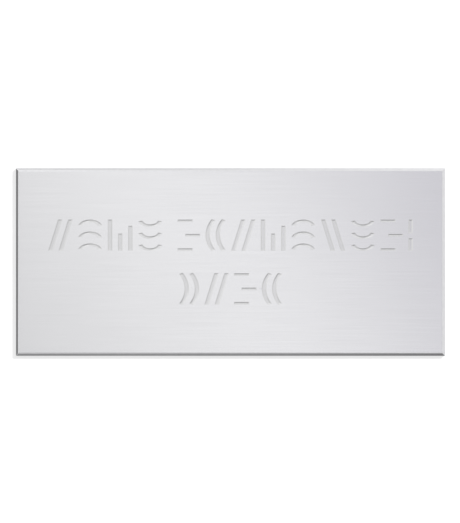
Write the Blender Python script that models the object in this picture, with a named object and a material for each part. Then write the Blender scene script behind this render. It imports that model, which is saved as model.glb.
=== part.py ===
"""Trophy plate: a thin sheet of aluminium with bevelled front edges and two rows of engraved marks.

The plate is drawn lying on its back, with X along its length, Y up its face and Z out of its front.
It is then stood on its long edge: its front looks along -Y, its back lies at Y = 0, and the origin
is in the middle of the back, where the plate is stuck to what carries it. Lengths are in metres.
"""

import math

import bmesh
import bpy
from mathutils import Matrix

# The sheet, and the bevel along its four front edges
LENGTH = 0.080
HEIGHT = 0.035
THICKNESS = 0.0010
BEVEL_WIDTH = 0.0005
BEVEL_DEPTH = 0.00035

# The rows of marks: ROW_PITCH is from the middle of one row to the middle of the next
MARK_HEIGHT = 0.0058
ROW_PITCH = 0.0100
MARK_GAP = 0.0010
WORD_GAP = 0.0028

# The strokes: an upright is cut wider than a level stroke, which is one pass of the tool
UPRIGHT_WIDTH = 0.0008
LEVEL_WIDTH = 0.00045
CUT_DEPTH = 0.00008
TOOL_TIP = 0.00005

# The shapes of the marks
STROKE_PITCH = 0.0019
SLANT_LEAN = 0.0018
DASH_LENGTH = 0.0028
DASH_STEP = 0.0014
BOW_BELLY = 0.0011
ARCH_WIDTH = 0.0046
ARCH_RISE = 0.0009
POST_SHARES = (1.0, 0.55, 0.8)
SPLIT_SHARES = ((0.0, 0.4), (0.56, 1.0))
PAIR = 2
STACK = 3
ARC_STEPS = 12
END_STEP = 2.0

# The way that a curved stroke bulges, as an angle
RIGHT = 0.0
UP = math.pi / 2
LEFT = math.pi
DOWN = -math.pi / 2

# How far the cutters stand out of the plate's face
PROUD = 0.00005

ALUMINIUM = (0.70, 0.70, 0.72, 1.0)
ROUGHNESS = 0.32


def add_bar(sheet, foot, head):
    """A steep stroke with level ends, between the middles of its foot and its head."""
    rise = head[1] - foot[1]
    stretch = 1 + 2 * spread() / rise
    across = UPRIGHT_WIDTH + 2 * spread()
    middle = [(a + b) / 2 for a, b in zip(foot, head)]
    place = Matrix(
        (
            (across, (head[0] - foot[0]) * stretch, 0, middle[0]),
            (0, rise * stretch, 0, middle[1]),
            (0, 0, 1, 0),
            (0, 0, 0, 1),
        )
    )
    bmesh.ops.create_grid(sheet, x_segments=1, y_segments=1, size=0.5, matrix=place)


def add_dash(sheet, left, level):
    """A level stroke with upright ends."""
    long = DASH_LENGTH + 2 * spread()
    thick = LEVEL_WIDTH + 2 * spread()
    place = Matrix.Translation((left + DASH_LENGTH / 2, level, 0)) @ Matrix.Diagonal((long, thick, 1, 1))
    bmesh.ops.create_grid(sheet, x_segments=1, y_segments=1, size=0.5, matrix=place)


def add_arc(sheet, crown, chord, belly, bulge):
    """A curved stroke, drawn by an oval pen: as wide as an upright and as high as a level stroke.

    A round pen draws it along a circle, and squashing the circle then squashes the pen with it.
    The crown is where the stroke bulges furthest, and the chord joins the middles of its ends. Its first
    and last steps are END_STEP times as long as a wall's run, so that the walls at its ends have room.
    """
    pen = UPRIGHT_WIDTH + 2 * spread()
    squash = (LEVEL_WIDTH + 2 * spread()) / pen
    if bulge in (LEFT, RIGHT):
        chord /= squash
    else:
        belly /= squash
    radius = (chord**2 / 4 + belly**2) / (2 * belly)
    half_span = math.asin(chord / 2 / radius) + spread() / radius
    end_span = END_STEP * (wall_run() + spread()) / (radius - pen / 2)
    first = len(sheet.verts)
    nib = [sheet.verts.new((radius + side * pen / 2, 0, 0)) for side in (-1, 1)]
    bmesh.ops.rotate(sheet, verts=nib, matrix=Matrix.Rotation(bulge - half_span, 3, "Z"))
    reached = [*nib, sheet.edges.new(nib)]
    for span, steps in ((end_span, 1), (2 * (half_span - end_span), ARC_STEPS - 2), (end_span, 1)):
        reached = bmesh.ops.spin(sheet, geom=reached, axis=(0, 0, 1), angle=span, steps=steps)["geom_last"]
    sheet.verts.ensure_lookup_table()
    to_crown = Matrix.Translation((-radius * math.cos(bulge), -radius * math.sin(bulge), 0))
    place = Matrix.Translation((*crown, 0)) @ Matrix.Diagonal((1, squash, 1, 1)) @ to_crown
    bmesh.ops.transform(sheet, matrix=place, verts=sheet.verts[first:])


def spread():
    """How much wider a stroke is on each side at the top of its cutter than at the plate's face."""
    return wall_run() * PROUD / CUT_DEPTH


def wall_run():
    """How far a stroke's wall slopes inwards on its way down to the floor."""
    return (LEVEL_WIDTH - TOOL_TIP) / 2


def rising_slants(sheet, left):
    """Two strokes that lean to the right."""
    for number in range(PAIR):
        foot = left + UPRIGHT_WIDTH / 2 + number * STROKE_PITCH
        add_bar(sheet, (foot, 0), (foot + SLANT_LEAN, MARK_HEIGHT))
    return foot + SLANT_LEAN + UPRIGHT_WIDTH / 2


def falling_slants(sheet, left):
    """Two strokes that lean to the left."""
    for number in range(PAIR):
        head = left + UPRIGHT_WIDTH / 2 + number * STROKE_PITCH
        add_bar(sheet, (head + SLANT_LEAN, 0), (head, MARK_HEIGHT))
    return head + SLANT_LEAN + UPRIGHT_WIDTH / 2


def posts(sheet, left):
    """Uprights of different heights, all standing on the row's base line."""
    for number, share in enumerate(POST_SHARES):
        middle = left + UPRIGHT_WIDTH / 2 + number * STROKE_PITCH
        add_bar(sheet, (middle, 0), (middle, share * MARK_HEIGHT))
    return middle + UPRIGHT_WIDTH / 2


def split_post(sheet, left):
    """One upright with a break in it."""
    middle = left + UPRIGHT_WIDTH / 2
    for low, high in SPLIT_SHARES:
        add_bar(sheet, (middle, low * MARK_HEIGHT), (middle, high * MARK_HEIGHT))
    return middle + UPRIGHT_WIDTH / 2


def dashes(sheet, left):
    """Level strokes laid like bricks, every second one a step to the right."""
    rise = (MARK_HEIGHT - LEVEL_WIDTH) / (STACK - 1)
    for number in range(STACK):
        add_dash(sheet, left + number % 2 * DASH_STEP, LEVEL_WIDTH / 2 + number * rise)
    return left + DASH_STEP + DASH_LENGTH


def bows(sheet, left, bulge):
    """Two nested bows as high as the row."""
    crown = left + UPRIGHT_WIDTH / 2 + (BOW_BELLY if bulge == RIGHT else 0)
    for number in range(PAIR):
        middle = (crown + number * STROKE_PITCH, MARK_HEIGHT / 2)
        add_arc(sheet, middle, MARK_HEIGHT, BOW_BELLY, bulge)
    return left + UPRIGHT_WIDTH + BOW_BELLY + STROKE_PITCH


def left_bows(sheet, left):
    """Two nested bows that bulge to the left."""
    return bows(sheet, left, LEFT)


def right_bows(sheet, left):
    """Two nested bows that bulge to the right."""
    return bows(sheet, left, RIGHT)


def curved_stack(sheet, left, bulge):
    """Shallow arcs, one above another, stacked to the row's height."""
    lowest = LEVEL_WIDTH / 2 + (ARCH_RISE if bulge == UP else 0)
    rise = (MARK_HEIGHT - LEVEL_WIDTH - ARCH_RISE) / (STACK - 1)
    for number in range(STACK):
        crown = (left + ARCH_WIDTH / 2, lowest + number * rise)
        add_arc(sheet, crown, ARCH_WIDTH - UPRIGHT_WIDTH, ARCH_RISE, bulge)
    return left + ARCH_WIDTH


def arches(sheet, left):
    """Shallow arches, one above another."""
    return curved_stack(sheet, left, UP)


def cups(sheet, left):
    """Shallow cups, one above another."""
    return curved_stack(sheet, left, DOWN)


# Each row is a list of words, and each word a list of marks
ROWS = (
    (
        (rising_slants, arches, posts, cups),
        (dashes, left_bows, rising_slants, posts, arches, falling_slants, cups, dashes, split_post),
    ),
    ((right_bows, rising_slants, dashes, left_bows),),
)


def draw_row(words):
    """Flat outlines of one row of marks, with the middle of the row at the origin."""
    sheet = bmesh.new()
    right = -WORD_GAP
    for word in words:
        left = right + WORD_GAP
        for mark in word:
            right = mark(sheet, left)
            left = right + MARK_GAP
    bmesh.ops.translate(sheet, verts=sheet.verts, vec=(-right / 2, -MARK_HEIGHT / 2, 0))
    return sheet


def deepen(sheet):
    """Turns flat outlines into closed cutters with sloping walls and flat floors."""
    bmesh.ops.inset_region(
        sheet,
        faces=sheet.faces[:],
        thickness=wall_run() + spread(),
        depth=-(PROUD + CUT_DEPTH),
        use_boundary=True,
        use_even_offset=True,
    )
    rims = [edge for edge in sheet.edges if edge.is_boundary]
    bmesh.ops.holes_fill(sheet, edges=rims, sides=0)
    bmesh.ops.recalc_face_normals(sheet, faces=sheet.faces[:])


def put_in_scene(name, mesh, collection):
    """An object made of a bmesh, in a collection."""
    data = bpy.data.meshes.new(name)
    mesh.to_mesh(data)
    mesh.free()
    made = bpy.data.objects.new(name, data)
    collection.objects.link(made)
    return made


def make_collection(name):
    """A new collection in the scene."""
    made = bpy.data.collections.new(name)
    bpy.context.scene.collection.children.link(made)
    return made


def make_aluminium():
    """Satin aluminium."""
    material = bpy.data.materials.new("satin_aluminium")
    material.use_nodes = True
    shader = material.node_tree.nodes["Principled BSDF"]
    shader.inputs["Base Color"].default_value = ALUMINIUM
    shader.inputs["Metallic"].default_value = 1.0
    shader.inputs["Roughness"].default_value = ROUGHNESS
    return material


def make_blank(collection):
    """The sheet with its bevel, before engraving."""
    square_sides = THICKNESS - BEVEL_DEPTH
    blank = bmesh.new()
    size = Matrix.Diagonal((LENGTH, HEIGHT, square_sides, 1))
    bmesh.ops.create_cube(blank, size=1.0, matrix=Matrix.Translation((0, 0, square_sides / 2)) @ size)
    front = [face for face in blank.faces if face.normal.z > 0.5]
    bmesh.ops.inset_region(
        blank, faces=front, thickness=BEVEL_WIDTH, depth=BEVEL_DEPTH, use_even_offset=True
    )
    return put_in_scene("plate", blank, collection)


def make_row_cutters(plate, collection):
    """One cutter for each row, the rows being centred on the plate's face as a block."""
    highest = (len(ROWS) - 1) * ROW_PITCH / 2
    for number, words in enumerate(ROWS):
        sheet = draw_row(words)
        middle = (0, highest - number * ROW_PITCH, THICKNESS + PROUD)
        bmesh.ops.translate(sheet, verts=sheet.verts, vec=middle)
        deepen(sheet)
        cutter = put_in_scene(f"row_{number + 1}_cutter", sheet, collection)
        cutter.parent = plate
        cutter.display_type = "WIRE"
        cutter.hide_render = True


def main():
    """Builds the plate, engraves it and stands it up."""
    for old in list(bpy.data.objects):
        bpy.data.objects.remove(old, do_unlink=True)
    parts = make_collection("trophy_plate")
    cutters = make_collection("cutters")
    plate = make_blank(parts)
    plate.data.materials.append(make_aluminium())
    make_row_cutters(plate, cutters)
    engrave = plate.modifiers.new("engraving", "BOOLEAN")
    engrave.operation = "DIFFERENCE"
    engrave.solver = "EXACT"
    engrave.operand_type = "COLLECTION"
    engrave.collection = cutters
    even = plate.modifiers.new("even_triangles", "TRIANGULATE")
    even.ngon_method = "BEAUTY"
    plate.rotation_euler = (math.pi / 2, 0, 0)


main()
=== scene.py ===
"""Trophy plate: the dressed model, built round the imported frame.

One thin sheet of aluminium stands upright with its engraved front looking along -Y. Its front edges
are bevelled, and two rows of shallow strokes are cut into its face. The sheet is drawn lying on its
back, with X along its length, Y up its face and Z out of its front, and is stood up once it is
engraved. Lengths are in metres.
"""

import logging
import math
from abc import ABC, abstractmethod
from collections.abc import Callable, Iterator
from contextlib import contextmanager
from dataclasses import dataclass, field
from enum import Enum, auto
from typing import Any

import bmesh
import bpy
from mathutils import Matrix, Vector


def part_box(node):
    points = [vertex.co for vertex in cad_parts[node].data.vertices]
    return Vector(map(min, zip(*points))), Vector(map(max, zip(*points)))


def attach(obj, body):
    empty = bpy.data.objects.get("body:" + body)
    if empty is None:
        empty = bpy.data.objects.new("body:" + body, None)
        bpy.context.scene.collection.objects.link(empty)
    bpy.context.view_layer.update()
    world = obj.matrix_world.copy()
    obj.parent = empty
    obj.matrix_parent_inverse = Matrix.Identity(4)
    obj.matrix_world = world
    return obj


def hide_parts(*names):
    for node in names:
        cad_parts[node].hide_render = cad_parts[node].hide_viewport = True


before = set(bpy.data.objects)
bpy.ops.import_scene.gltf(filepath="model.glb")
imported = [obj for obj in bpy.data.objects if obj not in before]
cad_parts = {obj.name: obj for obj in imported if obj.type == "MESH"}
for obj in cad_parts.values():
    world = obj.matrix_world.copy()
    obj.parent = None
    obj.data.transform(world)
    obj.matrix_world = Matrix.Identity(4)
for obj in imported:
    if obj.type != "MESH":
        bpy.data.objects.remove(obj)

MM = 0.001

Tree = bpy.types.NodeTree
Socket = bpy.types.NodeSocket

log = logging.getLogger("trophy_plate")


# Named options


class Element(Enum):
    """The kinds of mesh element that can be picked."""

    VERT = "verts"
    EDGE = "edges"
    FACE = "faces"


class Mark(Enum):
    """The marks that the rows are made of."""

    RISING_SLANTS = auto()
    FALLING_SLANTS = auto()
    POSTS = auto()
    SPLIT_POST = auto()
    DASHES = auto()
    LEFT_BOWS = auto()
    RIGHT_BOWS = auto()
    ARCHES = auto()
    CUPS = auto()


class Bulge(Enum):
    """The way that a curved stroke bulges, as an angle from +X."""

    RIGHT = 0.0
    UP = math.pi / 2
    LEFT = math.pi
    DOWN = -math.pi / 2


class Zone(Enum):
    """The differently finished parts of the plate's surface, in the order of its materials."""

    FACE = 0
    BEVEL = 1
    STROKE = 2
    EDGE = 3
    BACK = 4


# Small helpers


def linear(colour: str, gain: float = 1.0) -> tuple[float, float, float, float]:
    """Turns an sRGB hex colour into linear light.

    Args:
        colour: The colour, as "#RRGGBB".
        gain: What the linear values are multiplied by.

    Returns:
        Red, green, blue and an alpha of 1.
    """
    shares = [int(colour[at : at + 2], 16) / 255 for at in (1, 3, 5)]
    red, green, blue = (
        gain * (share / 12.92 if share <= 0.04045 else ((share + 0.055) / 1.055) ** 2.4)
        for share in shares
    )
    return red, green, blue, 1.0


def add_node(
    tree: Tree, kind: str, inputs: dict | None = None, **settings: Any
) -> bpy.types.Node:
    """Adds a node with its settings, and fills its inputs.

    Args:
        tree: The tree that the node goes into.
        kind: The node's type, such as "ShaderNodeTexNoise".
        inputs: What each input gets, by its name or number: a plain value, or a socket to link.
        **settings: The node's own properties.

    Returns:
        The new node.
    """
    node = tree.nodes.new(kind)
    for name, value in settings.items():
        setattr(node, name, value)
    for name, value in (inputs or {}).items():
        if isinstance(value, Socket):
            tree.links.new(value, node.inputs[name])
        else:
            node.inputs[name].default_value = value
    return node


def fill_ramp(ramp: bpy.types.ColorRamp, stops: list[tuple[float, tuple]]) -> None:
    """Puts a colour ramp's stops in place.

    Args:
        ramp: The ramp.
        stops: Each stop's place, from 0 to 1, and its linear colour, from the lowest place up.
    """
    while len(ramp.elements) < len(stops):
        ramp.elements.new(1.0)
    for element, (place, colour) in zip(ramp.elements, stops):
        element.position = place
        element.color = colour


def select_only(piece: bpy.types.Object) -> None:
    """Makes one object the active one and the only one selected.

    Args:
        piece: The object.
    """
    bpy.ops.object.select_all(action="DESELECT")
    piece.select_set(True)
    bpy.context.view_layer.objects.active = piece


@contextmanager
def editing(piece: bpy.types.Object, element: Element) -> Iterator[None]:
    """Holds one object in edit mode, with nothing of it selected at the start.

    Args:
        piece: The object.
        element: The kind of element that is selected by default.

    Returns:
        A context in which the object is in edit mode.
    """
    select_only(piece)
    bpy.ops.object.mode_set(mode="EDIT")
    bpy.ops.mesh.select_mode(type=element.name)
    bpy.ops.mesh.select_all(action="DESELECT")
    try:
        yield
    finally:
        bpy.ops.object.mode_set(mode="OBJECT")


def pick(piece: bpy.types.Object, element: Element, wanted: Callable[[Any], bool]) -> int:
    """Selects the elements of an object in edit mode that pass a test, and nothing else.

    Args:
        piece: The object, which is in edit mode.
        element: The kind of element.
        wanted: The test.

    Returns:
        How many elements were selected.
    """
    bpy.ops.mesh.select_mode(type=element.name)
    bpy.ops.mesh.select_all(action="DESELECT")
    mesh = bmesh.from_edit_mesh(piece.data)
    mesh.normal_update()
    found = [item for item in getattr(mesh, element.value) if wanted(item)]
    for item in found:
        item.select_set(True)
    mesh.select_flush_mode()
    bmesh.update_edit_mesh(piece.data)
    return len(found)


def apply_place(piece: bpy.types.Object) -> None:
    """Moves an object's place, turn and scale into its mesh."""
    select_only(piece)
    bpy.ops.object.transform_apply(location=True, rotation=True, scale=True)


def copy_of(piece: bpy.types.Object, name: str) -> bpy.types.Object:
    """Copies an object, with a mesh of its own.

    Args:
        piece: The object.
        name: The copy's name.

    Returns:
        The copy, linked into the scene.
    """
    twin = piece.copy()
    twin.data = piece.data.copy()
    twin.name = twin.data.name = name
    bpy.context.scene.collection.objects.link(twin)
    return twin


def discard(piece: bpy.types.Object) -> None:
    """Removes a helper object with its mesh.

    Args:
        piece: The object.
    """
    mesh = piece.data
    bpy.data.objects.remove(piece, do_unlink=True)
    bpy.data.meshes.remove(mesh)


# Metal finishes


# What a noise pattern runs between, and what two of them multiplied run between
PATTERN_RANGE = (0.3, 0.7)
PRODUCT_RANGE = (0.15, 0.4)


@dataclass(frozen=True)
class Grain:
    """A noise pattern of a real size, with so many levels of finer detail."""

    along_x: float
    along_y: float
    along_z: float
    detail: float

    def draw(self, tree: Tree, place: Socket) -> Socket:
        """Adds the pattern's nodes.

        Args:
            tree: The material's node tree.
            place: The object's coordinates.

        Returns:
            The pattern.
        """
        scale = (1 / self.along_x, 1 / self.along_y, 1 / self.along_z)
        mapped = add_node(tree, "ShaderNodeMapping", {"Vector": place, "Scale": scale})
        inputs = {"Vector": mapped.outputs["Vector"], "Scale": 1.0, "Detail": self.detail}
        return add_node(tree, "ShaderNodeTexNoise", inputs).outputs["Fac"]


@dataclass(frozen=True)
class Metal:
    """A metal surface whose colour, gloss and relief follow patterns in the object's own space.

    The grain moves the colour from pale to grey and the roughness from smooth to matt, and gives the
    relief, whose depth is how far the surface rises from the grain's 0 to its 1. Where there is a
    cloud, the colour follows the two multiplied, and the roughness may follow the cloud instead.
    """

    pale: str
    grey: str
    smooth: float
    matt: float
    grain: Grain
    relief_depth: float
    cloud: Grain | None = None
    gloss_follows_cloud: bool = False

    def roughness(self, tree: Tree, place: Socket, pattern: Socket) -> Socket:
        """Adds the nodes that the roughness comes from.

        Args:
            tree: The material's node tree.
            place: The object's coordinates.
            pattern: The pattern that the roughness follows.

        Returns:
            The roughness.
        """
        low, high = PATTERN_RANGE
        inputs = {
            "Value": pattern,
            "From Min": low,
            "From Max": high,
            "To Min": self.smooth,
            "To Max": self.matt,
        }
        return add_node(tree, "ShaderNodeMapRange", inputs).outputs["Result"]

    def material(self, name: str) -> bpy.types.Material:
        """Makes the material.

        Args:
            name: The material's name.

        Returns:
            The material.
        """
        made = bpy.data.materials.new(name)
        made.use_nodes = True
        tree = made.node_tree
        tree.nodes.clear()
        place = add_node(tree, "ShaderNodeTexCoord").outputs["Object"]
        grain = self.grain.draw(tree, place)
        gloss = tint = grain
        low, high = PATTERN_RANGE
        if self.cloud:
            cloud = self.cloud.draw(tree, place)
            both = add_node(tree, "ShaderNodeMath", {0: grain, 1: cloud}, operation="MULTIPLY")
            tint = both.outputs["Value"]
            low, high = PRODUCT_RANGE
            gloss = cloud if self.gloss_follows_cloud else grain
        inputs = {"Value": tint, "From Min": low, "From Max": high}
        share = add_node(tree, "ShaderNodeMapRange", inputs).outputs["Result"]
        colour = add_node(tree, "ShaderNodeValToRGB", {"Fac": share})
        fill_ramp(colour.color_ramp, [(0.0, linear(self.pale)), (1.0, linear(self.grey))])
        inputs = {"Height": grain, "Distance": self.relief_depth, "Strength": 1.0}
        bump = add_node(tree, "ShaderNodeBump", inputs)
        inputs = {
            "Base Color": colour.outputs["Color"],
            "Metallic": 1.0,
            "Roughness": self.roughness(tree, place, gloss),
            "Normal": bump.outputs["Normal"],
        }
        shader = add_node(tree, "ShaderNodeBsdfPrincipled", inputs)
        add_node(tree, "ShaderNodeOutputMaterial", {"Surface": shader.outputs["BSDF"]})
        return made


@dataclass(frozen=True)
class SatinFace(Metal):
    """Aluminium sheet, brushed along its length and clear anodised.

    It gives the eye a soft silver mirror: broad reflections with no hard edge, a grain that is only
    just there, and hardly any colour of its own. Real brushed lines are some 0.02 mm wide, too fine
    to show, so these are coarser, and deeper in the same measure.
    """

    pale: str = "#E5E5E6"
    grey: str = "#E2E2E3"
    smooth: float = 0.177
    matt: float = 0.193
    grain: Grain = Grain(14 * MM, 14 * MM, 0.25 * MM, 5.0)
    relief_depth: float = 0.004 * MM
    cloud: Grain = Grain(22 * MM, 22 * MM, 22 * MM, 2.0)


@dataclass(frozen=True)
class MilledBevel(Metal):
    """Aluminium, milled with a polished cutter along the front edges.

    It gives the eye a narrow facet that takes the light of one side, sharper than the satin face.
    The cutter's slow ripple is as long along the edge as across it.
    """

    pale: str = "#E7E7E9"
    grey: str = "#E2E2E4"
    smooth: float = 0.13
    matt: float = 0.17
    grain: Grain = Grain(0.6 * MM, 0.6 * MM, 0.6 * MM, 2.0)
    relief_depth: float = 0.0001 * MM


@dataclass(frozen=True)
class CutMetal(Metal):
    """Bare aluminium under the anodised skin, cut by a small turning tool.

    Its colour is set a little darker than the face's, which is painted shade in the strokes. It gives
    the eye a duller silver than the face, with a fine sparkle from the tool's marks. Real marks are
    about 0.03 mm apart, so they are drawn three times as coarse.
    """

    # Darker than the face's colour: painted shade in the strokes, not a colour of the cut metal.
    pale: str = "#DEDEDE"
    grey: str = "#D5D5D6"
    smooth: float = 0.18
    matt: float = 0.25
    grain: Grain = Grain(0.09 * MM, 0.09 * MM, 0.09 * MM, 3.0)
    relief_depth: float = 0.0012 * MM


@dataclass(frozen=True)
class ShearedEdge(Metal):
    """Aluminium, cut through by a shear's blade.

    It gives the eye a burnished band near the front, where the blade slid, and a duller torn band
    behind it, both with fine streaks across the sheet's thickness.
    """

    pale: str = "#DCDCDF"
    grey: str = "#C6C6CA"
    smooth: float = 0.26
    matt: float = 0.46
    grain: Grain = Grain(0.14 * MM, 3 * MM, 0.14 * MM, 3.0)
    relief_depth: float = 0.004 * MM
    burnish_end: float = -0.4 * MM
    torn_start: float = -0.25 * MM
    wobble: float = 0.06

    def roughness(self, tree: Tree, place: Socket, pattern: Socket) -> Socket:
        """Adds the smooth and the matt band, and lets the streaks vary both.

        Args:
            tree: The material's node tree.
            place: The object's coordinates.
            pattern: The streaks.

        Returns:
            The roughness.
        """
        inputs = {
            "Value": add_node(tree, "ShaderNodeSeparateXYZ", {"Vector": place}).outputs["Y"],
            "From Min": self.burnish_end,
            "From Max": self.torn_start,
            "To Min": self.smooth,
            "To Max": self.matt,
        }
        band = add_node(tree, "ShaderNodeMapRange", inputs).outputs["Result"]
        low, high = PATTERN_RANGE
        inputs = {
            "Value": pattern,
            "From Min": low,
            "From Max": high,
            "To Min": -self.wobble,
            "To Max": self.wobble,
        }
        vary = add_node(tree, "ShaderNodeMapRange", inputs).outputs["Result"]
        both = add_node(tree, "ShaderNodeMath", {0: band, 1: vary}, operation="ADD")
        return both.outputs["Value"]


@dataclass(frozen=True)
class MillBack(Metal):
    """Aluminium as it leaves the rolls, neither brushed nor anodised.

    It gives the eye a plain dull silver with long faint rolling lines and a little clouding.
    """

    pale: str = "#DCDCDE"
    grey: str = "#D2D2D5"
    smooth: float = 0.36
    matt: float = 0.42
    grain: Grain = Grain(45 * MM, 45 * MM, 0.5 * MM, 4.0)
    relief_depth: float = 0.0015 * MM
    cloud: Grain = Grain(9 * MM, 9 * MM, 9 * MM, 3.0)
    gloss_follows_cloud: bool = True


# The engraving


@dataclass(frozen=True)
class Tool:
    """The engraving tool: what a stroke's section is.

    An upright is cut wider than a level stroke, which is one pass of the tool. Cutters stand a little
    proud of the face, and are wider there by as much as their walls slope. A curved stroke is drawn
    in steps, of which the two at its ends are end_step times as long as its walls run.
    """

    upright_width: float = 0.8 * MM
    level_width: float = 0.45 * MM
    depth: float = 0.08 * MM
    tip: float = 0.05 * MM
    proud: float = 0.05 * MM
    arc_steps: int = 30
    end_step: float = 2.0

    @property
    def wall_run(self) -> float:
        """How far a stroke's wall slopes inwards on its way down to the floor."""
        return (self.level_width - self.tip) / 2

    @property
    def spread(self) -> float:
        """How much wider a stroke is on each side at the top of its cutter than at the face."""
        return self.wall_run * self.proud / self.depth

    def sheet(self, name: str) -> bpy.types.Object:
        """Adds a flat unit square at the origin, which the strokes are drawn from.

        Args:
            name: The square's name.

        Returns:
            The square.
        """
        bpy.ops.object.select_all(action="DESELECT")
        bpy.ops.mesh.primitive_plane_add(size=1.0)
        made = bpy.context.active_object
        made.name = made.data.name = name
        return made

    def sink(self, outline: bpy.types.Object) -> None:
        """Turns a flat outline into a closed cutter with sloping walls and a flat floor.

        Args:
            outline: The stroke's outline, as wide as the cutter's top.
        """
        with editing(outline, Element.FACE):
            bpy.ops.mesh.select_all(action="SELECT")
            if sum(face.normal.z for face in bmesh.from_edit_mesh(outline.data).faces) < 0:
                bpy.ops.mesh.flip_normals()
            bpy.ops.mesh.inset(
                thickness=self.wall_run + self.spread,
                depth=-(self.proud + self.depth),
                use_boundary=True,
                use_even_offset=True,
            )
            bpy.ops.mesh.select_all(action="SELECT")
            bpy.ops.mesh.fill_holes(sides=0)
            bpy.ops.mesh.select_all(action="SELECT")
            bpy.ops.mesh.normals_make_consistent(inside=False)
            if bmesh.from_edit_mesh(outline.data).calc_volume(signed=True) < 0:
                bpy.ops.mesh.flip_normals()


@dataclass(frozen=True)
class Stroke(ABC):
    """One stroke, drawn at the origin, whose copies are put where the marks want them."""

    @abstractmethod
    def outline(self, tool: Tool) -> bpy.types.Object:
        """Draws the stroke's flat outline, as wide as the cutter's top.

        Args:
            tool: The engraving tool.

        Returns:
            The outline, which lies in the XY plane.
        """


@dataclass(frozen=True)
class Bar(Stroke):
    """A steep stroke with level ends. Its foot's middle is at the origin."""

    rise: float
    lean: float = 0.0

    def outline(self, tool: Tool) -> bpy.types.Object:
        """Draws the bar from a square, whose top edge is slid sideways.

        Args:
            tool: The engraving tool.

        Returns:
            The outline.
        """
        made = tool.sheet("bar")
        stretch = 1 + 2 * tool.spread / self.rise
        with editing(made, Element.EDGE):
            bpy.ops.mesh.select_all(action="SELECT")
            bpy.ops.transform.resize(
                value=(tool.upright_width + 2 * tool.spread, self.rise * stretch, 1),
                center_override=(0, 0, 0),
            )
            pick(made, Element.EDGE, lambda edge: all(vert.co.y > 0 for vert in edge.verts))
            bpy.ops.transform.translate(value=(self.lean * stretch, 0, 0))
            bpy.ops.mesh.select_all(action="SELECT")
            slide = self.lean * (1 - stretch) / 2
            bpy.ops.transform.translate(value=(slide, self.rise / 2, 0))
        return made


@dataclass(frozen=True)
class Dash(Stroke):
    """A level stroke with upright ends. The middle of its left end is at the origin."""

    length: float

    def outline(self, tool: Tool) -> bpy.types.Object:
        """Draws the dash from a square.

        Args:
            tool: The engraving tool.

        Returns:
            The outline.
        """
        made = tool.sheet("dash")
        with editing(made, Element.EDGE):
            bpy.ops.mesh.select_all(action="SELECT")
            bpy.ops.transform.resize(
                value=(self.length + 2 * tool.spread, tool.level_width + 2 * tool.spread, 1),
                center_override=(0, 0, 0),
            )
            bpy.ops.transform.translate(value=(self.length / 2, 0, 0))
        return made


@dataclass(frozen=True)
class Arc(Stroke):
    """A curved stroke, drawn by an oval nib as wide as an upright and as high as a level stroke.

    A round nib draws it along a circle, and squashing the circle then squashes the nib with it. The
    chord joins the middles of its ends, and the crown, where it bulges furthest, is at the origin.
    The first and last steps are long enough for the walls at its ends.
    """

    chord: float
    belly: float
    bulge: Bulge

    def outline(self, tool: Tool) -> bpy.types.Object:
        """Draws the arc by spinning the nib's edge, and squashing what it draws.

        Args:
            tool: The engraving tool.

        Returns:
            The outline.
        """
        nib = tool.upright_width + 2 * tool.spread
        squash = (tool.level_width + 2 * tool.spread) / nib
        sideways = self.bulge in (Bulge.LEFT, Bulge.RIGHT)
        chord = self.chord / squash if sideways else self.chord
        belly = self.belly if sideways else self.belly / squash
        radius = (chord**2 / 4 + belly**2) / (2 * belly)
        half_span = math.asin(chord / 2 / radius) + tool.spread / radius
        end_span = tool.end_step * (tool.wall_run + tool.spread) / (radius - nib / 2)
        made = tool.sheet("arc")
        with editing(made, Element.VERT):
            pick(made, Element.VERT, lambda vert: vert.co.y > 0)
            bpy.ops.mesh.delete(type="VERT")
            bpy.ops.mesh.select_all(action="SELECT")
            bpy.ops.transform.resize(value=(nib, 1, 1), center_override=(0, 0, 0))
            bpy.ops.transform.translate(value=(radius, 0.5, 0))
            middle_span = 2 * (half_span - end_span)
            for span, steps in ((end_span, 1), (middle_span, tool.arc_steps - 2), (end_span, 1)):
                bpy.ops.mesh.spin(steps=steps, angle=span, center=(0, 0, 0), axis=(0, 0, 1))
        middle = sum((vert.co for vert in made.data.vertices), Vector()) / len(made.data.vertices)
        made.rotation_euler.z = self.bulge.value - math.atan2(middle.y, middle.x)
        apply_place(made)
        made.scale.y = squash
        made.location = (
            -radius * math.cos(self.bulge.value),
            -radius * math.sin(self.bulge.value) * squash,
            0,
        )
        apply_place(made)
        return made


Placed = tuple[Stroke, float, float]


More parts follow.
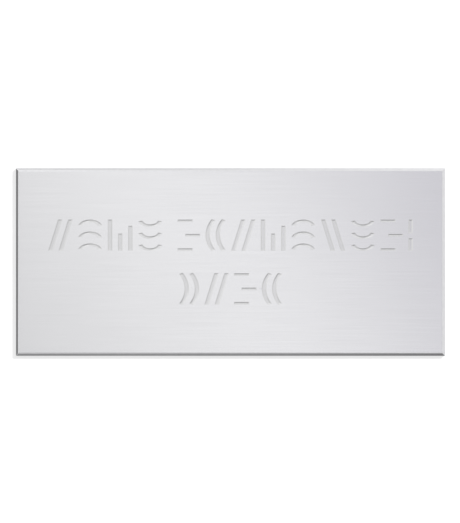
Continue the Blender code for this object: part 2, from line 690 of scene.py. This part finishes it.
@dataclass
class Engraving:
    """Two centred rows of shallow strokes, whose marks stand in groups."""

    tool: Tool = field(default_factory=Tool)
    mark_height: float = 5.8 * MM
    row_pitch: float = 10.0 * MM
    mark_gap: float = 1.0 * MM
    group_gap: float = 2.8 * MM
    stroke_pitch: float = 1.9 * MM
    slant_lean: float = 1.8 * MM
    dash_length: float = 2.8 * MM
    dash_step: float = 1.4 * MM
    bow_belly: float = 1.1 * MM
    arch_width: float = 4.6 * MM
    arch_rise: float = 0.9 * MM
    post_shares: tuple = (1.0, 0.55, 0.8)
    split_shares: tuple = ((0.0, 0.4), (0.56, 1.0))
    pair: int = 2
    stack: int = 3
    rows: tuple = (
        (
            (Mark.RISING_SLANTS, Mark.ARCHES, Mark.POSTS, Mark.CUPS),
            (
                Mark.DASHES,
                Mark.LEFT_BOWS,
                Mark.RISING_SLANTS,
                Mark.POSTS,
                Mark.ARCHES,
                Mark.FALLING_SLANTS,
                Mark.CUPS,
                Mark.DASHES,
                Mark.SPLIT_POST,
            ),
        ),
        ((Mark.RIGHT_BOWS, Mark.RISING_SLANTS, Mark.DASHES, Mark.LEFT_BOWS),),
    )
    masters: dict = field(default_factory=dict)

    def slants(self, lean: float) -> tuple[list[Placed], float]:
        """Lays out two strokes that lean the same way.

        Args:
            lean: How far to the right a stroke's top is of its foot.

        Returns:
            The strokes with their places, and the mark's width.
        """
        half = self.tool.upright_width / 2
        start = half + max(0.0, -lean)
        bars = [
            (Bar(self.mark_height, lean), start + number * self.stroke_pitch, 0.0)
            for number in range(self.pair)
        ]
        return bars, (self.pair - 1) * self.stroke_pitch + abs(lean) + 2 * half

    def posts(self) -> tuple[list[Placed], float]:
        """Lays out uprights of different heights on the base line.

        Returns:
            The strokes with their places, and the mark's width.
        """
        half = self.tool.upright_width / 2
        bars = [
            (Bar(share * self.mark_height), half + number * self.stroke_pitch, 0.0)
            for number, share in enumerate(self.post_shares)
        ]
        return bars, (len(bars) - 1) * self.stroke_pitch + 2 * half

    def split_post(self) -> tuple[list[Placed], float]:
        """Lays out one upright with a break in it.

        Returns:
            The strokes with their places, and the mark's width.
        """
        half = self.tool.upright_width / 2
        bars = [
            (Bar((high - low) * self.mark_height), half, low * self.mark_height)
            for low, high in self.split_shares
        ]
        return bars, 2 * half

    def dashes(self) -> tuple[list[Placed], float]:
        """Lays out level strokes like bricks.

        Returns:
            The strokes with their places, and the mark's width.
        """
        level = self.tool.level_width
        rise = (self.mark_height - level) / (self.stack - 1)
        laid = [
            (Dash(self.dash_length), number % 2 * self.dash_step, level / 2 + number * rise)
            for number in range(self.stack)
        ]
        return laid, self.dash_step + self.dash_length

    def bows(self, bulge: Bulge) -> tuple[list[Placed], float]:
        """Lays out two nested bows as high as the row.

        Args:
            bulge: The side that they bulge to.

        Returns:
            The strokes with their places, and the mark's width.
        """
        crown = self.tool.upright_width / 2 + (self.bow_belly if bulge is Bulge.RIGHT else 0)
        bow = Arc(self.mark_height, self.bow_belly, bulge)
        middle = self.mark_height / 2
        laid = [(bow, crown + number * self.stroke_pitch, middle) for number in range(self.pair)]
        return laid, self.tool.upright_width + self.bow_belly + self.stroke_pitch

    def curved_stack(self, bulge: Bulge) -> tuple[list[Placed], float]:
        """Lays out shallow arcs, one above another.

        Args:
            bulge: Whether they bulge up or down.

        Returns:
            The strokes with their places, and the mark's width.
        """
        level = self.tool.level_width
        lowest = level / 2 + (self.arch_rise if bulge is Bulge.UP else 0)
        rise = (self.mark_height - level - self.arch_rise) / (self.stack - 1)
        arc = Arc(self.arch_width - self.tool.upright_width, self.arch_rise, bulge)
        laid = [(arc, self.arch_width / 2, lowest + number * rise) for number in range(self.stack)]
        return laid, self.arch_width

    def mark(self, kind: Mark) -> tuple[list[Placed], float]:
        """Lays out one mark from its lower left corner.

        Args:
            kind: Which mark.

        Returns:
            The mark's strokes with their places, and its width.
        """
        layouts = {
            Mark.RISING_SLANTS: lambda: self.slants(self.slant_lean),
            Mark.FALLING_SLANTS: lambda: self.slants(-self.slant_lean),
            Mark.POSTS: self.posts,
            Mark.SPLIT_POST: self.split_post,
            Mark.DASHES: self.dashes,
            Mark.LEFT_BOWS: lambda: self.bows(Bulge.LEFT),
            Mark.RIGHT_BOWS: lambda: self.bows(Bulge.RIGHT),
            Mark.ARCHES: lambda: self.curved_stack(Bulge.UP),
            Mark.CUPS: lambda: self.curved_stack(Bulge.DOWN),
        }
        return layouts[kind]()

    def row(self, groups: tuple) -> list[Placed]:
        """Lays out one row, with its middle at the origin.

        Args:
            groups: The row's groups of marks, from the left.

        Returns:
            The row's strokes with their places.
        """
        laid: list[Placed] = []
        left = 0.0
        for group in groups:
            for kind in group:
                strokes, width = self.mark(kind)
                laid += [(stroke, left + x, y) for stroke, x, y in strokes]
                left += width + self.mark_gap
            left += self.group_gap - self.mark_gap
        middle = (left - self.group_gap) / 2
        return [(stroke, x - middle, y - self.mark_height / 2) for stroke, x, y in laid]

    def master(self, stroke: Stroke) -> bpy.types.Object:
        """Models each different stroke once.

        Args:
            stroke: The stroke.

        Returns:
            Its cutter, whose copies are what cuts.
        """
        if stroke not in self.masters:
            cutter = stroke.outline(self.tool)
            self.tool.sink(cutter)
            self.masters[stroke] = cutter
        return self.masters[stroke]

    def build(self, level: float) -> bpy.types.Object:
        """Models all the strokes as one cutter.

        Args:
            level: The height of the face that the strokes are cut into.

        Returns:
            The cutter.
        """
        highest = (len(self.rows) - 1) * self.row_pitch / 2
        copies = []
        for number, groups in enumerate(self.rows):
            for stroke, x, y in self.row(groups):
                cutter = copy_of(self.master(stroke), "stroke")
                base = highest - number * self.row_pitch
                cutter.location = (x, y + base, level + self.tool.proud)
                copies.append(cutter)
            log.info("row %d of the engraving: %d strokes so far", number + 1, len(copies))
        for master in self.masters.values():
            discard(master)
        self.masters.clear()
        select_only(copies[0])
        for cutter in copies:
            cutter.select_set(True)
        bpy.ops.object.transform_apply(location=True, rotation=True, scale=True)
        bpy.ops.object.join()
        return copies[0]


# The plate


@dataclass
class Plate:
    """The engraved sheet: a blank with bevelled front edges, cut by the engraving.

    The last five sizes tell its parts apart. A point is level with the face when it is within
    level_share of a bevel's or a stroke's depth. The strokes lie further in than the bevel and
    ridge_margin times the ridge, and what is lower than sunk there is part of one. A face looks out
    of the front or the back when its normal's Z passes facing, and lies flat when it passes flat.
    """

    length: float
    height: float
    thickness: float
    bevel_width: float = 0.5 * MM
    bevel_depth: float = 0.35 * MM
    ridge: float = 0.15 * MM
    arris_share: float = 0.3
    arris_steps: int = 6
    rim: float = 0.02 * MM
    rim_steps: int = 2
    smooth_under: float = math.radians(16)
    sharp_over: float = math.radians(5)
    level_share: float = 0.1
    ridge_margin: float = 1.2
    sunk: float = 0.001 * MM
    facing: float = 0.5
    flat: float = 0.9999
    engraving: Engraving = field(default_factory=Engraving)
    finishes: dict = field(
        default_factory=lambda: {
            Zone.FACE: ("brushed_anodised_aluminium", SatinFace()),
            Zone.BEVEL: ("milled_aluminium_bevel", MilledBevel()),
            # The strokes' darker colour is painted shade in the grooves.
            Zone.STROKE: ("engraved_bare_aluminium", CutMetal()),
            Zone.EDGE: ("sheared_aluminium_edge", ShearedEdge()),
            Zone.BACK: ("rolled_aluminium_back", MillBack()),
        }
    )

    def blank(self) -> bpy.types.Object:
        """Models the sheet with its bevel and rounded arrises, lying on its back.

        Returns:
            The blank.
        """
        square = self.thickness - self.bevel_depth
        bpy.ops.object.select_all(action="DESELECT")
        bpy.ops.mesh.primitive_cube_add(size=1.0)
        made = bpy.context.active_object
        made.name = made.data.name = "engraved_plate"
        made.scale = (self.length, self.height, square)
        made.location.z = square / 2
        apply_place(made)
        with editing(made, Element.FACE):
            pick(made, Element.FACE, lambda face: face.normal.z > self.facing)
            bpy.ops.mesh.inset(
                thickness=self.bevel_width, depth=self.bevel_depth, use_even_offset=True
            )
            pick(made, Element.EDGE, self.is_arris)
            bpy.ops.transform.edge_bevelweight(value=self.arris_share)
            pick(made, Element.EDGE, self.is_ridge)
            bpy.ops.transform.edge_bevelweight(value=1.0)
        soften = made.modifiers.new("softened_edges", "BEVEL")
        soften.limit_method = "WEIGHT"
        soften.width = self.ridge
        soften.segments = self.arris_steps
        select_only(made)
        bpy.ops.object.modifier_apply(modifier=soften.name)
        return made

    def is_ridge(self, edge: bmesh.types.BMEdge) -> bool:
        """Whether an edge of the blank is where its face meets the bevel."""
        near = self.level_share * self.bevel_depth
        return all(self.thickness - vert.co.z < near for vert in edge.verts)

    def is_arris(self, edge: bmesh.types.BMEdge) -> bool:
        """Whether an edge of the blank is a sharp one elsewhere."""
        return not self.is_ridge(edge) and edge.calc_face_angle(0) > self.sharp_over

    def engrave(self, made: bpy.types.Object) -> None:
        """Cuts the strokes and breaks their sharp rims.

        Args:
            made: The blank.
        """
        cutter = self.engraving.build(self.thickness)
        cut = made.modifiers.new("engraving", "BOOLEAN")
        cut.operation = "DIFFERENCE"
        cut.solver = "EXACT"
        cut.object = cutter
        select_only(made)
        bpy.ops.object.modifier_apply(modifier=cut.name)
        discard(cutter)
        with editing(made, Element.EDGE):
            found = pick(made, Element.EDGE, self.is_rim)
            bpy.ops.mesh.bevel(
                offset=self.rim,
                offset_type="OFFSET",
                segments=self.rim_steps,
                affect="EDGES",
                clamp_overlap=True,
            )
        log.info("strokes: %d rim edges softened", found)

    def inside(self, place: Vector) -> bool:
        """Whether a place on the lying sheet is well within the bevelled edges."""
        margin = self.bevel_width + self.ridge_margin * self.ridge
        return abs(place.x) < self.length / 2 - margin and abs(place.y) < self.height / 2 - margin

    def is_rim(self, edge: bmesh.types.BMEdge) -> bool:
        """Tells whether an edge is where a stroke's wall meets the face.

        Args:
            edge: The edge.

        Returns:
            Whether it is.
        """
        near = self.level_share * self.engraving.tool.depth
        ends = [vert.co for vert in edge.verts]
        return (
            all(self.thickness - end.z < near and self.inside(end) for end in ends)
            and edge.calc_face_angle(0) > self.sharp_over
        )

    def zone(self, face: bpy.types.MeshPolygon) -> Zone:
        """Tells which finish a face of the lying sheet has.

        Args:
            face: The face.

        Returns:
            The zone that it belongs to.
        """
        level, out = face.center.z, face.normal.z
        below = self.thickness - level > self.sunk
        if out > self.facing and self.inside(face.center):
            return Zone.STROKE if below or out < self.flat else Zone.FACE
        if out > self.facing:
            return Zone.FACE if out > self.flat else Zone.BEVEL
        return Zone.BACK if out < -self.facing else Zone.EDGE

    def build(self) -> bpy.types.Object:
        """Models the whole plate and stands it up, with its back at Y = 0.

        Returns:
            The plate, whose place is in its mesh.
        """
        made = self.blank()
        self.engrave(made)
        self.dress(made)
        select_only(made)
        bpy.ops.object.shade_smooth_by_angle(angle=self.smooth_under)
        even = made.modifiers.new("even_normals", "WEIGHTED_NORMAL")
        even.keep_sharp = True
        bpy.ops.object.modifier_apply(modifier=even.name)
        made.rotation_euler.x = math.pi / 2
        apply_place(made)
        return made

    def dress(self, made: bpy.types.Object) -> None:
        """Gives every face of the lying sheet its finish.

        Args:
            made: The plate.
        """
        made.data.materials.clear()
        for zone in Zone:
            name, finish = self.finishes[zone]
            made.data.materials.append(finish.material(name))
        for face in made.data.polygons:
            face.material_index = self.zone(face).value


# The studio


@dataclass(frozen=True)
class Paper:
    """Plain pale paper, lit so that it comes out nearly white, and seen only from its front."""

    colour: str = "#F4F4F4"
    share: float = 0.3
    glow: float = 0.7

    def material(self, name: str) -> bpy.types.Material:
        """Makes the material: paper that glows a little, and lets through what looks at its back.

        Args:
            name: The material's name.

        Returns:
            The material.
        """
        made = bpy.data.materials.new(name)
        made.use_nodes = True
        made.cycles.emission_sampling = "NONE"
        tree = made.node_tree
        tree.nodes.clear()
        matt = add_node(tree, "ShaderNodeBsdfDiffuse", {"Color": linear(self.colour, self.share)})
        inputs = {"Color": linear(self.colour), "Strength": self.glow}
        light = add_node(tree, "ShaderNodeEmission", inputs)
        front = add_node(tree, "ShaderNodeAddShader", {0: matt.outputs[0], 1: light.outputs[0]})
        clear = add_node(tree, "ShaderNodeBsdfTransparent")
        side = add_node(tree, "ShaderNodeNewGeometry").outputs["Backfacing"]
        inputs = {0: side, 1: front.outputs[0], 2: clear.outputs[0]}
        both = add_node(tree, "ShaderNodeMixShader", inputs)
        add_node(tree, "ShaderNodeOutputMaterial", {"Surface": both.outputs[0]})
        return made


@dataclass(frozen=True)
class Surround:
    """The soft light round the set, which the metal mirrors.

    Straight ahead, and straight behind, is a broad soft box. Its brightest part is a slanting line,
    and near gives its tones by the distance to the right of that line. Between blend_start and
    blend_end from the box's middle it gives way to the wide light. Those distances are tangents of
    angles. The wide light comes in soft slanting bands. What across and upward give for how far
    right and how far up a direction points is added to it, which makes it brighter above and at the
    right, with dark flags at the left and below. The camera itself sees plain pale paper.
    """

    ridge_slant: float = 0.458
    near_reach: float = 0.16
    near: tuple = (
        (-0.16, "#B4B4B5"),
        (-0.085, "#DDDDDE"),
        (-0.035, "#E0E0E1"),
        (-0.01, "#FFFFFF"),
        (0.015, "#E3E3E4"),
        (0.055, "#E2E2E3"),
        (0.09, "#BBBAC0"),
        (0.16, "#BDBBC3"),
    )
    near_gain: float = 1.395
    blend_start: float = 0.2
    blend_end: float = 0.45
    wide: float = 0.8
    across: tuple = (
        (-1.0, -0.8),
        (-0.94, -0.55),
        (-0.69, 0.25),
        (0.0, 0.0),
        (0.69, 0.02),
        (0.94, 0.28),
        (1.0, 0.08),
    )
    upward: tuple = (
        (-1.0, -0.62),
        (-0.94, -0.57),
        (-0.69, -0.2),
        (-0.45, -0.2),
        (-0.15, -0.02),
        (0.0, 0.0),
        (0.69, 0.28),
        (0.94, 0.22),
        (1.0, -0.03),
    )
    band_pitch: float = 0.55
    band_depth: float = 0.13
    band_start: float = 0.6
    darkest: float = 0.12
    least_depth: float = 0.02
    lift: float = 1.0
    seen: str = "#FAFAFA"

    def curve(self, tree: Tree, along: Socket, points: tuple) -> Socket:
        """Adds a smooth curve over a direction's component.

        A ramp holds nothing below 0, so its stops are lifted and the curve is lowered again.

        Args:
            tree: The world's node tree.
            along: The component, from -1 to 1.
            points: The component and what the curve is there, from the lowest to the highest.

        Returns:
            The curve's value.
        """
        share = add_node(tree, "ShaderNodeMath", {0: along, 1: 0.5, 2: 0.5}, operation="MULTIPLY_ADD")
        node = add_node(tree, "ShaderNodeValToRGB", {"Fac": share.outputs["Value"]})
        node.color_ramp.interpolation = "EASE"
        stops = [(0.5 + at / 2, (self.lift + value,) * 3 + (1.0,)) for at, value in points]
        fill_ramp(node.color_ramp, stops)
        inputs = {0: node.outputs["Color"], 1: self.lift}
        return add_node(tree, "ShaderNodeMath", inputs, operation="SUBTRACT").outputs["Value"]

    def work_out(self, tree: Tree, known: dict[str, Any]) -> dict[str, Any]:
        """Adds the calculations, step by step, from a direction's components.

        Args:
            tree: The world's node tree.
            known: The direction's x, y and z.

        Returns:
            Everything that is known in the end, by name.
        """
        known["across"] = self.curve(tree, known["x"], self.across)
        known["upward"] = self.curve(tree, known["z"], self.upward)
        turns = 2 * math.pi / self.band_pitch
        steps = (
            ("depth", "ABSOLUTE", "y"),
            ("depth", "MAXIMUM", "depth", self.least_depth),
            ("right", "DIVIDE", "x", "depth"),
            ("up", "DIVIDE", "z", "depth"),
            ("off line", "MULTIPLY_ADD", "up", self.ridge_slant, "right"),
            ("box share", "MULTIPLY_ADD", "off line", 0.5 / self.near_reach, 0.5),
            ("right squared", "MULTIPLY", "right", "right"),
            ("up squared", "MULTIPLY", "up", "up"),
            ("reach", "ADD", "right squared", "up squared"),
            ("reach", "SQRT", "reach"),
            ("wave", "MULTIPLY_ADD", "z", self.ridge_slant, "x"),
            ("wave", "MULTIPLY_ADD", "wave", turns, self.band_start),
            ("wave", "SINE", "wave"),
            ("bands", "MULTIPLY_ADD", "wave", self.band_depth, self.wide),
            ("added", "ADD", "across", "upward"),
            ("far", "ADD", "added", "bands"),
            ("far", "MAXIMUM", "far", self.darkest),
        )
        for name, operation, *values in steps:
            inputs = {number: known.get(value, value) for number, value in enumerate(values)}
            node = add_node(tree, "ShaderNodeMath", inputs, operation=operation)
            known[name] = node.outputs["Value"]
        return known

    def build(self) -> bpy.types.World:
        """Makes the world.

        Returns:
            The world.
        """
        made = bpy.data.worlds.new("soft_light")
        made.use_nodes = True
        tree = made.node_tree
        tree.nodes.clear()
        ray = add_node(tree, "ShaderNodeTexCoord").outputs["Generated"]
        x, y, z = add_node(tree, "ShaderNodeSeparateXYZ", {"Vector": ray}).outputs
        known = self.work_out(tree, {"x": x, "y": y, "z": z})
        box = add_node(tree, "ShaderNodeValToRGB", {"Fac": known["box share"]})
        stops = [
            (0.5 + at / self.near_reach / 2, linear(colour, self.near_gain))
            for at, colour in self.near
        ]
        fill_ramp(box.color_ramp, stops)
        inputs = {"Value": known["reach"], "From Min": self.blend_start, "From Max": self.blend_end}
        out = add_node(tree, "ShaderNodeMapRange", inputs, interpolation_type="SMOOTHSTEP")
        inputs = {"Factor": out.outputs["Result"], 6: box.outputs["Color"], 7: known["far"]}
        mixed = add_node(tree, "ShaderNodeMix", inputs, data_type="RGBA")
        inputs = {"Color": mixed.outputs[2], "Strength": 1.0}
        mirrored = add_node(tree, "ShaderNodeBackground", inputs)
        inputs = {"Color": linear(self.seen), "Strength": 1.0}
        plain = add_node(tree, "ShaderNodeBackground", inputs)
        looking = add_node(tree, "ShaderNodeLightPath").outputs["Is Camera Ray"]
        inputs = {0: looking, 1: mirrored.outputs[0], 2: plain.outputs[0]}
        both = add_node(tree, "ShaderNodeMixShader", inputs)
        add_node(tree, "ShaderNodeOutputWorld", {"Surface": both.outputs[0]})
        return made


@dataclass
class Studio:
    """The camera, the light and the paper round the plate."""

    plate_length: float
    plate_thickness: float
    outline_depth: float
    frame_size: tuple = (460, 523)
    plate_pixels: float = 429.1
    off_centre: tuple = (0.5, 0.5)
    distance: float = 0.4
    sensor: float = 36.0
    wall_gap: float = 0.25 * MM
    floor_drop: float = 56 * MM
    reach: float = 2.0
    floor_glow: float = 0.66
    key_place: tuple = (0.5, -0.62, 0.42)
    key_size: float = 0.16
    key_power: float = 11.5

    def add_camera(self) -> None:
        """Puts the camera square in front of the plate, with the photograph's framing.

        The plate's outline is the foot of its bevel, which lies a little behind its face.
        """
        pixel = self.plate_length / self.plate_pixels
        outline = self.distance + self.outline_depth
        data = bpy.data.cameras.new("camera")
        data.sensor_width = self.sensor
        data.lens = self.sensor * outline / (self.frame_size[1] * pixel)
        camera = bpy.data.objects.new("camera", data)
        camera.location = (
            -self.off_centre[0] * pixel,
            -self.plate_thickness - self.distance,
            self.off_centre[1] * pixel,
        )
        camera.rotation_euler = (math.pi / 2, 0, 0)
        bpy.context.scene.collection.objects.link(camera)
        bpy.context.scene.camera = camera
        log.info("camera: lens %.1f mm at %.2f m", data.lens, self.distance)

    def add_key(self) -> None:
        """Adds the soft key light, up on the right, which throws the short shadow."""
        data = bpy.data.lights.new("key", "AREA")
        data.shape = "DISK"
        data.size = self.key_size
        data.energy = self.key_power
        key = bpy.data.objects.new("key", data)
        key.location = self.key_place
        key.rotation_euler = (-Vector(self.key_place)).to_track_quat("-Z", "Y").to_euler()
        key.visible_glossy = False
        bpy.context.scene.collection.objects.link(key)
        log.info("key light: %.1f W", data.energy)

    def add_paper(self, name: str, place: tuple, turn: tuple, finish: Paper) -> None:
        """Adds a sheet of paper that is part of the stage.

        Args:
            name: The sheet's name.
            place: Where its middle is.
            turn: How it is turned from lying face up.
            finish: Its finish.
        """
        bpy.ops.object.select_all(action="DESELECT")
        bpy.ops.mesh.primitive_plane_add(size=2 * self.reach)
        made = bpy.context.active_object
        made.name = made.data.name = name
        made.rotation_euler = turn
        made.location = place
        apply_place(made)
        made.data.materials.append(finish.material(name))
        made.visible_glossy = made.visible_diffuse = made.visible_shadow = False
        log.info("%s: stage", name)

    def build(self) -> None:
        """Builds the studio round the plate."""
        self.add_camera()
        self.add_key()
        self.add_paper("wall", (0, self.wall_gap, 0), (math.pi / 2, 0, 0), Paper())
        floor = Paper(glow=self.floor_glow)
        self.add_paper("floor", (0, 0, -self.floor_drop), (0, 0, 0), floor)
        bpy.context.scene.world = Surround().build()
        bpy.context.scene.view_settings.view_transform = "Standard"


def main() -> None:
    """Builds the plate and its studio, in order, and reports each piece."""
    logging.basicConfig(level=logging.INFO, format="%(message)s")
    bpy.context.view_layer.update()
    low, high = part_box("plate")
    length, thickness, height = high - low
    plate = Plate(length, height, thickness)
    piece = plate.build()
    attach(piece, "root")
    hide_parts("plate")
    log.info("%s: %d faces, stands for the plate", piece.name, len(piece.data.polygons))
    Studio(length, thickness, plate.bevel_depth).build()


if __name__ == "__main__":
    main()
